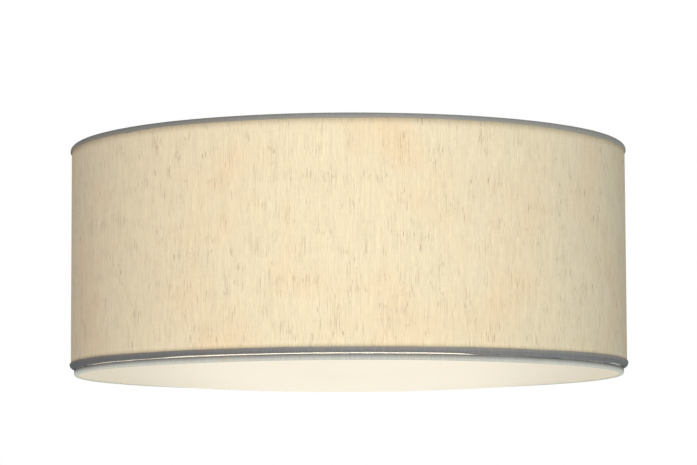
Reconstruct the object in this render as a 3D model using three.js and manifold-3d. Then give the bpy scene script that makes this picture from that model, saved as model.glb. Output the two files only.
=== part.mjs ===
// Drum lamp shade with a clip-in opal diffuser, as it hangs.
// Millimetres, +Z up. The origin is the lowest point of the diffuser, where its thin sheet bellies down.

import * as THREE from 'three';
import { mergeVertices } from 'three/addons/utils/BufferGeometryUtils.js';
import Module from 'manifold-3d';

const wasm = await Module();
wasm.setup();

// --- Driving dimensions -------------------------------------------------------------------------

const DRUM_RADIUS = 250; // outer face of the cover fabric
const DRUM_HEIGHT = 200; // from the bottom hem's lower edge to the top hem's upper edge
const FABRIC_THICKNESS = 0.8;
const LINER_THICKNESS = 0.5;

const HEM_HEIGHT = 4.6; // height of a rolled hem outside the drum
const HEM_TUCK = 9; // height that the rolled cloth reaches inside the drum
const RING_WIRE_DIAMETER = 4;

const LAP_WIDTH = 14; // cloth that overlaps at the vertical joint

const ARM_COUNT = 3;
const ARM_WIRE_DIAMETER = 4;
const ARM_LEVEL_INNER = 14; // straight stretch beside the hub
const ARM_LEVEL_OUTER = 24; // straight stretch beside the top ring
const ARM_AZIMUTH = -138.7; // degrees from +X, of the first arm
const HUB_DROP = 30; // from the top ring down to the hub
const NOTCH_CLEARANCE = 0.6; // cloth cut away round an arm

const WASHER_RADIUS = 30;
const WASHER_THICKNESS = 1.5;
const WASHER_COLLAR = 5;
const FITTER_BORE_RADIUS = 21; // lampholder size for the large socket
const REDUCER_BORE_RADIUS = 14.5; // lampholder size for the small socket
const REDUCER_LIP = 3; // how far the reducer's flange reaches over the washer
const REDUCER_FLANGE_THICKNESS = 1.2;
const REDUCER_DEPTH = 3;

const RIM_INSET = 4; // the diffuser rim is this much smaller in radius than the hem
const SLIT = 1.2; // light gap between the bottom hem and the diffuser rim
const RIM_CLOTH = 0.6;
const RIM_WIRE_DIAMETER = 2;
const PANEL_THICKNESS = 1.2;
const PANEL_SAG = 10; // how far the thin sheet hangs below the rim
const PANEL_FLAT_RADIUS = 40; // level middle of the sagging sheet

const TAB_COUNT = 3;
const TAB_AZIMUTH = -43.7; // degrees from +X, of the first tab
const TAB_WIDTH = 12;
const TAB_THICKNESS = 0.8;
const TAB_FOOT = 14; // length of the foot on the panel
const TAB_REACH = 7; // how far a tab stands above the bottom hem's tucked edge
const TAB_LEAD = 2.5; // inward lean of a tab's tip
const TAB_LEAD_HEIGHT = 5;

const SEAT = 0.3; // clearance between pieces that bear on each other

// --- Fineness -----------------------------------------------------------------------------------

const ROUND_SEGMENTS = 64;
const HUB_SEGMENTS = 40;
const WIRE_SIDES = 8;
const ROLL_STEPS = 5;
const CORNER_STEPS = 2;
const ARM_STEPS = 18;
const LAP_STEPS = 4;
const SAG_STEPS = 5;

// --- Sizes that follow --------------------------------------------------------------------------

const facetDepth = (radius) => radius * (1 - Math.cos(Math.PI / ROUND_SEGMENTS));

const linerOuter = DRUM_RADIUS - FABRIC_THICKNESS - SEAT;
const linerInner = linerOuter - LINER_THICKNESS;
const ringWireRadius = RING_WIRE_DIAMETER / 2;
const ringRadius = linerInner - SEAT - ringWireRadius;
const hemOuter = DRUM_RADIUS + SEAT + FABRIC_THICKNESS;
const hemInner = ringRadius - ringWireRadius - SEAT - FABRIC_THICKNESS;
const hemCentre = (hemOuter + hemInner) / 2;
const hemHalfWidth = (hemOuter - hemInner) / 2;

const rimOuter = hemOuter - RIM_INSET;
const rimWireRadius = RIM_WIRE_DIAMETER / 2;
const rimCorner = rimWireRadius + SEAT + RIM_CLOTH;
const rimWireRing = rimOuter - rimCorner;
const rimInner = rimWireRing - rimCorner;
const panelRadius = rimOuter - RIM_CLOTH - SEAT;
const rimBase = PANEL_SAG;
const panelBottom = rimBase + RIM_CLOTH + SEAT;
const panelTop = panelBottom + PANEL_THICKNESS;
const rimWireHeight = panelTop + SEAT + rimWireRadius;
const rimTop = rimWireHeight + rimCorner;
const bellyRadius = rimInner - SEAT;

const drumBase = rimTop + SLIT;
const topRingHeight = DRUM_HEIGHT - hemHalfWidth;
const hubHeight = topRingHeight - HUB_DROP;

// --- Materials ----------------------------------------------------------------------------------

const finish = (color, roughness, metalness = 0) =>
  new THREE.MeshStandardMaterial({ color, roughness, metalness });

const FINISHES = {
  cover: () => finish(0xe9dcbd, 0.95),
  hem: () => finish(0xb9b4a6, 0.95),
  liner: () => finish(0xf3efe4, 0.6),
  wire: () => finish(0xe8e8e4, 0.45, 0.1),
  steel: () => finish(0xb9bcc0, 0.35, 0.9),
  reducer: () => finish(0xf2f1ec, 0.5),
  opal: () => finish(0xf8f3e4, 0.4),
};

// --- Shape helpers ------------------------------------------------------------------------------

// A mesh that carries its node's name.
function piece(name, geometry, material) {
  const mesh = new THREE.Mesh(geometry, material);
  mesh.name = name;
  return mesh;
}

// Points of an arc in the (radius, height) plane; angles are in degrees from the outward direction.
function arc(centre, height, radius, from, to, steps) {
  return Array.from({ length: steps + 1 }, (_, i) => {
    const angle = THREE.MathUtils.degToRad(from + ((to - from) * i) / steps);
    return [centre + radius * Math.cos(angle), height + radius * Math.sin(angle)];
  });
}

// Turns a closed outline, listed anticlockwise as [radius, height], about the Z axis.
function turned(outline, segments = ROUND_SEGMENTS) {
  const points = [...outline, outline[0]].map(([radius, height]) => new THREE.Vector2(radius, height));
  return new THREE.LatheGeometry(points, segments).rotateX(Math.PI / 2);
}

// Outline of a plain tube wall.
function wallOutline(inner, outer, bottom, top) {
  return [[inner, bottom], [outer, bottom], [outer, top], [inner, top]];
}

// Outline turned upside down at a given height, still listed anticlockwise.
function flipped(outline, height) {
  return outline.map(([radius, z]) => [radius, height - z]).reverse();
}

// Round wire bent into a ring.
function wireRing(radius, height, wireRadius) {
  const start = 180 / WIRE_SIDES;
  const circle = arc(radius, height, wireRadius, start, start + 360, WIRE_SIDES).slice(0, -1);
  return turned(circle);
}

// Geometry to solid and back, for the one cut that the roll needs.
function toSolid(geometry) {
  const bare = geometry.clone();
  bare.deleteAttribute('normal');
  bare.deleteAttribute('uv');
  const merged = mergeVertices(bare, 1e-4);
  return new wasm.Manifold(new wasm.Mesh({
    numProp: 3,
    vertProperties: merged.attributes.position.array,
    triVerts: new Uint32Array(merged.index.array),
  }));
}

function toGeometry(solid) {
  const mesh = solid.getMesh();
  const geometry = new THREE.BufferGeometry();
  geometry.setAttribute('position', new THREE.BufferAttribute(mesh.vertProperties, 3));
  geometry.setIndex(new THREE.BufferAttribute(mesh.triVerts, 1));
  geometry.computeVertexNormals();
  return geometry;
}

// --- Drum ---------------------------------------------------------------------------------------

// Cloth rolled round a ring wire: a deep U, open towards the middle of the drum's height.
function hemOutline() {
  const tip = hemHalfWidth - FABRIC_THICKNESS;
  const outside = arc(hemCentre, hemHalfWidth, hemHalfWidth, -180, 0, ROLL_STEPS);
  const inside = arc(hemCentre, hemHalfWidth, tip, 0, -180, ROLL_STEPS);
  return [
    [hemInner, HEM_TUCK],
    ...outside,
    [hemOuter, HEM_HEIGHT],
    [hemOuter - FABRIC_THICKNESS, HEM_HEIGHT],
    ...inside,
    [hemInner + FABRIC_THICKNESS, HEM_TUCK],
  ];
}

function coverFabric() {
  const outline = wallOutline(
    DRUM_RADIUS - FABRIC_THICKNESS, DRUM_RADIUS, hemHalfWidth, DRUM_HEIGHT - hemHalfWidth);
  return piece('cover_fabric', turned(outline), FINISHES.cover());
}

function linerFilm() {
  const outline = wallOutline(linerInner, linerOuter, hemHalfWidth, DRUM_HEIGHT - hemHalfWidth);
  return piece('liner_film', turned(outline), FINISHES.liner());
}

function bottomHem() {
  return piece('bottom_rolled_hem', turned(hemOutline()), FINISHES.hem());
}

// The top roll is notched on its inner side, where each spider arm leaves the ring wire.
function topHem() {
  const width = ARM_WIRE_DIAMETER + 2 * NOTCH_CLEARANCE;
  const top = topRingHeight + width / 2;
  const bottom = DRUM_HEIGHT - HEM_TUCK - SEAT;
  const depth = 2 * (FABRIC_THICKNESS + facetDepth(hemInner));
  const notch = new THREE.BoxGeometry(depth, width, top - bottom);
  notch.translate(hemInner, 0, (top + bottom) / 2);
  let roll = toSolid(turned(flipped(hemOutline(), DRUM_HEIGHT)));
  for (const azimuth of armAzimuths()) {
    roll = roll.subtract(toSolid(notch.clone().rotateZ(azimuth)));
  }
  return piece('top_rolled_hem', toGeometry(roll), FINISHES.hem());
}

// The cloth's overlapping end: a strip between the hems, in line with an arm at the back.
function lapStrip() {
  const half = LAP_WIDTH / 2 / DRUM_RADIUS;
  const inner = DRUM_RADIUS + SEAT;
  const corners = (radius, from, to) => Array.from({ length: LAP_STEPS + 1 }, (_, i) => {
    const angle = from + ((to - from) * i) / LAP_STEPS;
    return new THREE.Vector2(radius * Math.cos(angle), radius * Math.sin(angle));
  });
  const shape = new THREE.Shape([
    ...corners(hemOuter, -half, half),
    ...corners(inner, half, -half),
  ]);
  const depth = DRUM_HEIGHT - 2 * (HEM_HEIGHT + SEAT);
  const strip = piece('lap_strip', new THREE.ExtrudeGeometry(shape, { depth, bevelEnabled: false }),
    FINISHES.cover());
  strip.position.z = HEM_HEIGHT + SEAT;
  strip.rotation.z = armAzimuths().at(-1);
  return strip;
}

function ringWires() {
  return [
    piece('bottom_ring_wire', wireRing(ringRadius, hemHalfWidth, ringWireRadius), FINISHES.wire()),
    piece('top_ring_wire', wireRing(ringRadius, topRingHeight, ringWireRadius), FINISHES.wire()),
  ];
}

// --- Spider and fitter --------------------------------------------------------------------------

function armAzimuths() {
  return Array.from({ length: ARM_COUNT }, (_, i) =>
    THREE.MathUtils.degToRad(ARM_AZIMUTH + (i * 360) / ARM_COUNT));
}

// One wire arm, from the hub's collar up to the top ring.
function spiderArm(index, azimuth) {
  const inner = WASHER_RADIUS + SEAT;
  const ringFace = ringRadius - ringWireRadius;
  const outer = ringFace - facetDepth(ringFace) - SEAT;
  const low = hubHeight - WASHER_COLLAR / 2;
  const path = new THREE.CatmullRomCurve3([
    new THREE.Vector3(inner, 0, low),
    new THREE.Vector3(inner + ARM_LEVEL_INNER / 2, 0, low),
    new THREE.Vector3(inner + ARM_LEVEL_INNER, 0, low),
    new THREE.Vector3(outer - ARM_LEVEL_OUTER, 0, topRingHeight),
    new THREE.Vector3(outer - ARM_LEVEL_OUTER / 2, 0, topRingHeight),
    new THREE.Vector3(outer, 0, topRingHeight),
  ], false, 'centripetal');
  const section = new THREE.Shape().absarc(0, 0, ARM_WIRE_DIAMETER / 2, 0, 2 * Math.PI);
  const geometry = new THREE.ExtrudeGeometry(section, {
    extrudePath: path,
    steps: ARM_STEPS,
    curveSegments: WIRE_SIDES / 2,
  });
  const arm = piece(`spider_arm_${index + 1}`, geometry, FINISHES.wire());
  arm.rotation.z = azimuth;
  return arm;
}

// Pressed hub ring: a flat washer with its outer edge turned down.
function fitterWasher() {
  const outline = [
    [FITTER_BORE_RADIUS, hubHeight - WASHER_THICKNESS],
    [WASHER_RADIUS - WASHER_THICKNESS, hubHeight - WASHER_THICKNESS],
    [WASHER_RADIUS - WASHER_THICKNESS, hubHeight - WASHER_COLLAR],
    [WASHER_RADIUS, hubHeight - WASHER_COLLAR],
    [WASHER_RADIUS, hubHeight],
    [FITTER_BORE_RADIUS, hubHeight],
  ];
  return piece('fitter_washer', turned(outline, HUB_SEGMENTS), FINISHES.wire());
}

// Loose plastic ring that drops into the washer from above.
function reducerRing() {
  const seat = hubHeight + SEAT;
  const spigot = FITTER_BORE_RADIUS - SEAT;
  const flange = FITTER_BORE_RADIUS + REDUCER_LIP;
  const outline = [
    [REDUCER_BORE_RADIUS, hubHeight - REDUCER_DEPTH],
    [spigot, hubHeight - REDUCER_DEPTH],
    [spigot, seat],
    [flange, seat],
    [flange, seat + REDUCER_FLANGE_THICKNESS],
    [REDUCER_BORE_RADIUS, seat + REDUCER_FLANGE_THICKNESS],
  ];
  return piece('reducer_ring', turned(outline, HUB_SEGMENTS), FINISHES.reducer());
}

// --- Diffuser -----------------------------------------------------------------------------------

// Height of the sheet's underside: level in the middle, and rising ever more steeply to the rim.
function bellyHeight(radius) {
  const share = (radius - PANEL_FLAT_RADIUS) / (bellyRadius - PANEL_FLAT_RADIUS);
  return panelBottom * THREE.MathUtils.clamp(share, 0, 1) ** 2;
}

function diffuserPanel() {
  const underside = Array.from({ length: SAG_STEPS + 1 }, (_, i) => {
    const radius = THREE.MathUtils.lerp(PANEL_FLAT_RADIUS, bellyRadius, i / SAG_STEPS);
    return [radius, bellyHeight(radius)];
  });
  const topside = underside.map(([radius, height]) => [radius, height + PANEL_THICKNESS]).reverse();
  const outline = [
    [0, 0],
    ...underside,
    [panelRadius, panelBottom],
    [panelRadius, panelTop],
    ...topside,
    [0, PANEL_THICKNESS],
  ];
  return piece('diffuser_panel', turned(outline), FINISHES.opal());
}

// Cloth wrapped round the ring wire and the panel's edge: a C that is open where the panel goes in.
function diffuserRim() {
  const heel = rimBase + rimCorner;
  const outline = [
    [rimInner, rimBase],
    ...arc(rimWireRing, heel, rimCorner, -90, 0, CORNER_STEPS),
    ...arc(rimWireRing, rimWireHeight, rimCorner, 0, 90, CORNER_STEPS),
    [rimInner, rimTop],
    [rimInner, panelTop + SEAT],
    [rimInner + RIM_CLOTH, panelTop + SEAT],
    [rimInner + RIM_CLOTH, rimTop - RIM_CLOTH],
    ...arc(rimWireRing, rimWireHeight, rimCorner - RIM_CLOTH, 90, 0, CORNER_STEPS),
    [rimOuter - RIM_CLOTH, rimBase + RIM_CLOTH],
    [rimInner, rimBase + RIM_CLOTH],
  ];
  return piece('diffuser_rim', turned(outline), FINISHES.hem());
}

function diffuserRingWire() {
  const geometry = wireRing(rimWireRing, rimWireHeight, rimWireRadius);
  return piece('diffuser_ring_wire', geometry, FINISHES.wire());
}

// Bent steel strip: a foot cemented to the panel and a leg that springs inside the bottom hem.
function springTab(index) {
  const narrowest = Math.min(hemInner, rimInner);
  const clear = narrowest - facetDepth(narrowest) - SEAT;
  const face = Math.sqrt(clear ** 2 - (TAB_WIDTH / 2) ** 2);
  const toe = face - TAB_FOOT;
  const footAt = (radius) => bellyHeight(radius + facetDepth(radius)) + PANEL_THICKNESS + SEAT;
  const tip = drumBase + HEM_TUCK + TAB_REACH;
  const bend = tip - TAB_LEAD_HEIGHT;
  const shape = new THREE.Shape([
    new THREE.Vector2(toe, footAt(toe)),
    new THREE.Vector2(face, footAt(face)),
    new THREE.Vector2(face, bend),
    new THREE.Vector2(face - TAB_LEAD, tip),
    new THREE.Vector2(face - TAB_LEAD - TAB_THICKNESS, tip),
    new THREE.Vector2(face - TAB_THICKNESS, bend),
    new THREE.Vector2(face - TAB_THICKNESS, footAt(face) + TAB_THICKNESS),
    new THREE.Vector2(toe, footAt(toe) + TAB_THICKNESS),
  ]);
  const geometry = new THREE.ExtrudeGeometry(shape, { depth: TAB_WIDTH, bevelEnabled: false });
  geometry.translate(0, 0, -TAB_WIDTH / 2).rotateX(Math.PI / 2);
  const tab = piece(`spring_tab_${index + 1}`, geometry, FINISHES.steel());
  tab.rotation.z = THREE.MathUtils.degToRad(TAB_AZIMUTH + (index * 360) / TAB_COUNT);
  return tab;
}

// --- Assembly -----------------------------------------------------------------------------------

const drum = new THREE.Group();
drum.add(coverFabric(), linerFilm(), lapStrip(), bottomHem(), topHem(), ...ringWires());
drum.add(...armAzimuths().map((azimuth, index) => spiderArm(index, azimuth)));
drum.add(fitterWasher(), reducerRing());
drum.position.z = drumBase;

const diffuser = new THREE.Group();
diffuser.add(diffuserPanel(), diffuserRim(), diffuserRingWire());
diffuser.add(...Array.from({ length: TAB_COUNT }, (_, index) => springTab(index)));

const shade = new THREE.Group();
shade.add(drum, diffuser);

export default shade;
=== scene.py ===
"""A fabric drum lamp shade with a clip-in opal diffuser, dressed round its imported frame.

Everything is in metres, +Z up, with -Y to the front. A radius is measured from the drum's axis,
and an azimuth is an angle in radians from +X, anticlockwise as seen from above.
"""

import logging
import math
from dataclasses import dataclass, replace
from enum import Enum

import bpy
import numpy as np
from mathutils import Matrix, Vector

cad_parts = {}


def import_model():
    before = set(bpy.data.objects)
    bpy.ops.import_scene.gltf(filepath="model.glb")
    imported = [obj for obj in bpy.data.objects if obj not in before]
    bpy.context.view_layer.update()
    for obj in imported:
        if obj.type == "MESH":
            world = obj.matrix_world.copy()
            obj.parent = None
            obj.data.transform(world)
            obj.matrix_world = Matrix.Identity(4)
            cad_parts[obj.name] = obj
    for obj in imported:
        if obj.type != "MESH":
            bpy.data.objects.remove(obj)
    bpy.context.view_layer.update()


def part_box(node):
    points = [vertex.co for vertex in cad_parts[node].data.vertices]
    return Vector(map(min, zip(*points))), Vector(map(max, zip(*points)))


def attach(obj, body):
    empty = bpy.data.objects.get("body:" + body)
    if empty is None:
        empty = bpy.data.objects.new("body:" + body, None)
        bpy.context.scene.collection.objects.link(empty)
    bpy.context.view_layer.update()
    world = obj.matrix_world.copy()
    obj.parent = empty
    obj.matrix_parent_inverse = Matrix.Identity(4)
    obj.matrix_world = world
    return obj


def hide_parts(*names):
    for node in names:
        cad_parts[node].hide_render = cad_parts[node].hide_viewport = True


LOG = logging.getLogger("lamp_shade")
MM = 0.001
TURN = 2.0 * math.pi
CLOTH_UV = "cloth"

Colour = tuple[float, float, float, float]
Pair = tuple[float, float]
Triple = tuple[float, float, float]
Socket = bpy.types.NodeSocket


class Body(Enum):
    """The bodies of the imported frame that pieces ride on."""

    SHADE = "shade"
    DIFFUSER = "diffuser"
    REDUCER = "reducer"


class Hold(Enum):
    """How a sheet of cloth is held."""

    STRETCHED = "stretched"
    FOLDED = "folded"
    LAID = "laid"


class DrumEnd(Enum):
    """An end of the drum. The value is the direction along Z from that end into the drum."""

    LOWER = 1.0
    UPPER = -1.0


# --- Frame sizes --------------------------------------------------------------------------------


@dataclass(frozen=True)
class FrameSizes:
    """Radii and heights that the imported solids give."""

    drum_radius: float
    hem_radius: float
    low_ring: float
    high_ring: float
    rim_radius: float
    rim_foot: float
    rim_head: float
    hub_radius: float
    hub_top: float

    @classmethod
    def measured(cls) -> "FrameSizes":
        """Reads the boxes of the CAD nodes.

        Returns:
            The sizes; a ring's height is the middle of its wire's box.
        """
        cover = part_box("cover_fabric")
        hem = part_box("bottom_rolled_hem")
        low_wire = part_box("bottom_ring_wire")
        high_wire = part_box("top_ring_wire")
        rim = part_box("diffuser_rim")
        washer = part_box("fitter_washer")
        return cls(
            drum_radius=cover[1][0],
            hem_radius=hem[1][0],
            low_ring=(low_wire[0][2] + low_wire[1][2]) / 2,
            high_ring=(high_wire[0][2] + high_wire[1][2]) / 2,
            rim_radius=rim[1][0],
            rim_foot=rim[0][2],
            rim_head=rim[1][2],
            hub_radius=washer[1][0],
            hub_top=washer[1][2],
        )


def evenly_round(first: float, count: int) -> np.ndarray:
    """Azimuths spread evenly round one turn.

    Args:
        first: The first one, in degrees.
        count: How many.

    Returns:
        The azimuths, in radians.
    """
    return math.radians(first) + TURN * np.arange(count) / count


ARM_AZIMUTHS = evenly_round(first=-138.7, count=3)
TAB_AZIMUTHS = evenly_round(first=-43.7, count=3)
# The cover's ends overlap at the back, below the last arm.
LAP_AZIMUTH = float(ARM_AZIMUTHS[-1])


# --- Curves and grids ---------------------------------------------------------------------------


def wander(azimuth: np.ndarray, seed: int, reach: float, waves: tuple[int, ...]) -> np.ndarray:
    """Hand-made unevenness round a ring.

    It is a sum of sines with whole numbers of waves a turn, seeded phases, and weights that fall
    with the root of the wave count.

    Args:
        azimuth: Azimuths, any shape.
        seed: Seed of the phases.
        reach: Greatest possible value.
        waves: Waves a turn of each sine.

    Returns:
        The offsets, of the same shape as the azimuths.
    """
    counts = np.asarray(waves, dtype=float)
    phases = np.random.default_rng(seed).uniform(0.0, TURN, counts.size)
    weights = 1.0 / np.sqrt(counts)
    weights *= reach / weights.sum()
    return np.sin(azimuth[..., None] * counts + phases) @ weights


def bump(azimuth: np.ndarray, centres: np.ndarray, half_width: float, edge: float) -> np.ndarray:
    """Smooth hump, 1 within half_width of a centre and 0 beyond half_width + edge.

    The distance is the angle to the nearest centre, and the flank is the smooth step 3t^2 - 2t^3.

    Args:
        azimuth: Azimuths, one-dimensional.
        centres: Azimuths of the humps.
        half_width: Angle from a centre to the start of the flank.
        edge: Angle that the flank takes.

    Returns:
        Values from 0 to 1.
    """
    apart = azimuth[:, None] - np.asarray(centres)[None, :]
    near = np.abs((apart + math.pi) % TURN - math.pi).min(axis=1)
    rise = np.clip((half_width + edge - near) / edge, 0.0, 1.0)
    return rise * rise * (3.0 - 2.0 * rise)


def azimuth_steps(count: int, fine_at: np.ndarray = np.empty(0), reach: float = 0.03) -> np.ndarray:
    """Azimuths of a ring's columns, one turn from the lap joint, with extra ones at given places.

    Args:
        count: Evenly spaced columns.
        fine_at: Azimuths that get finer columns.
        reach: Angle each side of those that is made finer.

    Returns:
        Rising azimuths, without the closing one; those that agree to five digits are one.
    """
    fine_steps, digits = 24, 5
    even = TURN * np.arange(count) / count
    extra = (fine_at[:, None] - LAP_AZIMUTH + np.linspace(-reach, reach, fine_steps)).ravel() % TURN
    return LAP_AZIMUTH + np.unique(np.round(np.concatenate([even, extra]), digits))


def filleted(corners: np.ndarray, radius: float, steps: int = 5, closed: bool = False) -> np.ndarray:
    """Polyline with its corners rounded.

    A corner with unit directions a and b to its neighbours, at half angle h between them, becomes
    the arc of radius r whose centre is r / sin(h) along a + b. It starts r / tan(h) along a, and r
    is cut where that would take over 0.45 of the shorter side.

    Args:
        corners: Points, shape (count, 2) or (count, 3).
        radius: Radius of the arcs.
        steps: Chords in an arc.
        closed: Whether the last point joins the first.

    Returns:
        The rounded line's points.
    """
    before, after = np.roll(corners, 1, axis=0) - corners, np.roll(corners, -1, axis=0) - corners
    long_before = np.linalg.norm(before, axis=1, keepdims=True)
    long_after = np.linalg.norm(after, axis=1, keepdims=True)
    a, b = before / long_before, after / long_after
    half = np.arccos(np.clip((a * b).sum(axis=1, keepdims=True), -1.0, 1.0)) / 2
    limit = 0.45 * np.minimum(long_before, long_after) * np.tan(half)
    arc_radius = np.minimum(radius, limit)
    sweep = math.pi - 2 * half
    middle = (a + b) / np.linalg.norm(a + b, axis=1, keepdims=True)
    centre = corners + middle * arc_radius / np.sin(half)
    start = corners + a * arc_radius / np.tan(half) - centre
    end = corners + b * arc_radius / np.tan(half) - centre
    share = np.linspace(0.0, 1.0, steps + 1)[None, :, None]
    turn = sweep[:, :, None]
    arcs = np.sin((1 - share) * turn) * start[:, None] + np.sin(share * turn) * end[:, None]
    rounded = centre[:, None] + arcs / np.sin(turn)
    if closed:
        return rounded.reshape(-1, corners.shape[1])
    inner = rounded[1:-1].reshape(-1, corners.shape[1])
    return np.concatenate([corners[:1], inner, corners[-1:]])


def even_steps(line: np.ndarray, count: int) -> np.ndarray:
    """The same line with evenly spaced points.

    Args:
        line: Points, shape (any, dimensions).
        count: Points wanted.

    Returns:
        Points at equal lengths along the line, ends kept.
    """
    length = path_length(line)
    wanted = np.linspace(0.0, length[-1], count)
    return np.stack([np.interp(wanted, length, axis) for axis in line.T], axis=1)


def path_length(line: np.ndarray) -> np.ndarray:
    """Length along a line.

    Args:
        line: Points, shape (count, dimensions).

    Returns:
        The length from the start to each point, shape (count,).
    """
    return np.concatenate([[0.0], np.cumsum(np.linalg.norm(np.diff(line, axis=0), axis=1))])


def band_outline(path: np.ndarray, thickness: float, end_steps: int = 4) -> np.ndarray:
    """Closed outline, anticlockwise, of a strip that follows a path in the (radius, height) plane.

    The path is pushed half the thickness to its right, then back along its left, and each end is
    half a circle from one side's normal through the end's tangent to the other side's normal.

    Args:
        path: Points, shape (..., count, 2).
        thickness: Thickness of the strip.
        end_steps: Points in each half-round end.

    Returns:
        Outline points, shape (..., 2 * count + 2 * end_steps, 2).
    """
    tangent = np.gradient(path, axis=-2)
    tangent /= np.linalg.norm(tangent, axis=-1, keepdims=True)
    right = np.stack([tangent[..., 1], -tangent[..., 0]], axis=-1)
    half = thickness / 2
    angle = (np.arange(1, end_steps + 1) / (end_steps + 1) * math.pi)[:, None]
    last = np.cos(angle) * right[..., -1:, :] + np.sin(angle) * tangent[..., -1:, :]
    first = -np.cos(angle) * right[..., :1, :] - np.sin(angle) * tangent[..., :1, :]
    return np.concatenate([
        path + half * right,
        path[..., -1:, :] + half * last,
        (path - half * right)[..., ::-1, :],
        path[..., :1, :] + half * first,
    ], axis=-2)


def swept(outline: np.ndarray, azimuth: np.ndarray) -> np.ndarray:
    """Outlines carried round the axis.

    Args:
        outline: (radius, height) pairs, shape (count, 2), or (columns, count, 2) where it varies.
        azimuth: Azimuth of each column.

    Returns:
        Points (radius cos, radius sin, height), shape (columns, count, 3).
    """
    radius, height = np.broadcast_arrays(outline[..., 0], outline[..., 1])
    radius = np.broadcast_to(radius, (azimuth.size, radius.shape[-1]))
    height = np.broadcast_to(height, radius.shape)
    cosine, sine = np.cos(azimuth)[:, None], np.sin(azimuth)[:, None]
    return np.stack([radius * cosine, radius * sine, height], axis=-1)


# --- Meshes -------------------------------------------------------------------------------------


def mesh_object(
    name: str, points: np.ndarray, faces: list[np.ndarray], corner_uvs: list[np.ndarray]
) -> bpy.types.Object:
    """Puts arrays into a smooth-shaded mesh object at the origin.

    Args:
        name: Name of the object and its mesh.
        points: Vertices, shape (count, 3).
        faces: Arrays of vertex indices, each of shape (faces, corners).
        corner_uvs: For each array of faces, its UVs in metres, shape (faces, corners, 2).

    Returns:
        The object, linked to the scene.
    """
    mesh = bpy.data.meshes.new(name)
    mesh.vertices.add(len(points))
    mesh.vertices.foreach_set("co", points.astype(np.float32).ravel())
    sizes = np.concatenate([np.full(len(part), part.shape[1]) for part in faces])
    corners = np.concatenate([part.ravel() for part in faces])
    mesh.loops.add(corners.size)
    mesh.loops.foreach_set("vertex_index", corners.astype(np.int32))
    mesh.polygons.add(sizes.size)
    starts = np.concatenate([[0], np.cumsum(sizes)[:-1]])
    mesh.polygons.foreach_set("loop_start", starts.astype(np.int32))
    mesh.polygons.foreach_set("use_smooth", np.ones(sizes.size, dtype=bool))
    layer = mesh.uv_layers.new(name=CLOTH_UV)
    uvs = np.concatenate([part.reshape(-1, 2) for part in corner_uvs])
    layer.data.foreach_set("uv", uvs.astype(np.float32).ravel())
    mesh.update(calc_edges=True)
    made = bpy.data.objects.new(name, mesh)
    bpy.context.scene.collection.objects.link(made)
    return made


def grid_quads(rows: int, columns: int, wrap_rows: bool) -> tuple[np.ndarray, np.ndarray]:
    """Quads of a grid whose columns close on themselves.

    Args:
        rows: Rows of points.
        columns: Points in a row.
        wrap_rows: Whether the last row joins the first.

    Returns:
        Vertex indices, and the (row, column) steps of the same corners before wrapping, which run
        one past the end, so that a UV doesn't jump back at the seam.
    """
    row = np.arange(rows if wrap_rows else rows - 1)[:, None]
    column = np.arange(columns)[None, :]
    row, column = (part.ravel() for part in np.broadcast_arrays(row, column))
    steps = np.stack([
        np.stack([row, column], axis=-1),
        np.stack([row + 1, column], axis=-1),
        np.stack([row + 1, column + 1], axis=-1),
        np.stack([row, column + 1], axis=-1),
    ], axis=1)
    return (steps[..., 0] % rows) * columns + steps[..., 1] % columns, steps


def ring_object(
    name: str, outline: np.ndarray, azimuth: np.ndarray, radius: float,
    across: np.ndarray | None = None,
) -> bpy.types.Object:
    """Closed ring from an outline, listed anticlockwise, that is swept round the axis.

    Args:
        name: Name of the piece.
        outline: (radius, height) pairs, shape (count, 2), or (columns, count, 2) where it varies.
        azimuth: Azimuth of each column.
        radius: Radius at which the UV along the ring is in metres.
        across: UV of each outline point and of the first one again. Without it, that is the length
            round the outline, or round the median one where it varies.

    Returns:
        The mesh object.
    """
    if across is None:
        typical = np.median(outline, axis=0) if outline.ndim == 3 else outline
        across = path_length(np.concatenate([typical, typical[:1]]))
    along = np.append(azimuth, azimuth[0] + TURN) * radius
    points = swept(outline, azimuth)
    rows, columns = points.shape[:2]
    quads, steps = grid_quads(rows, columns, wrap_rows=True)
    uvs = np.stack([along[steps[..., 0]], across[steps[..., 1]]], axis=-1)
    return mesh_object(name, points.reshape(-1, 3), [quads], [uvs])


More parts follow.
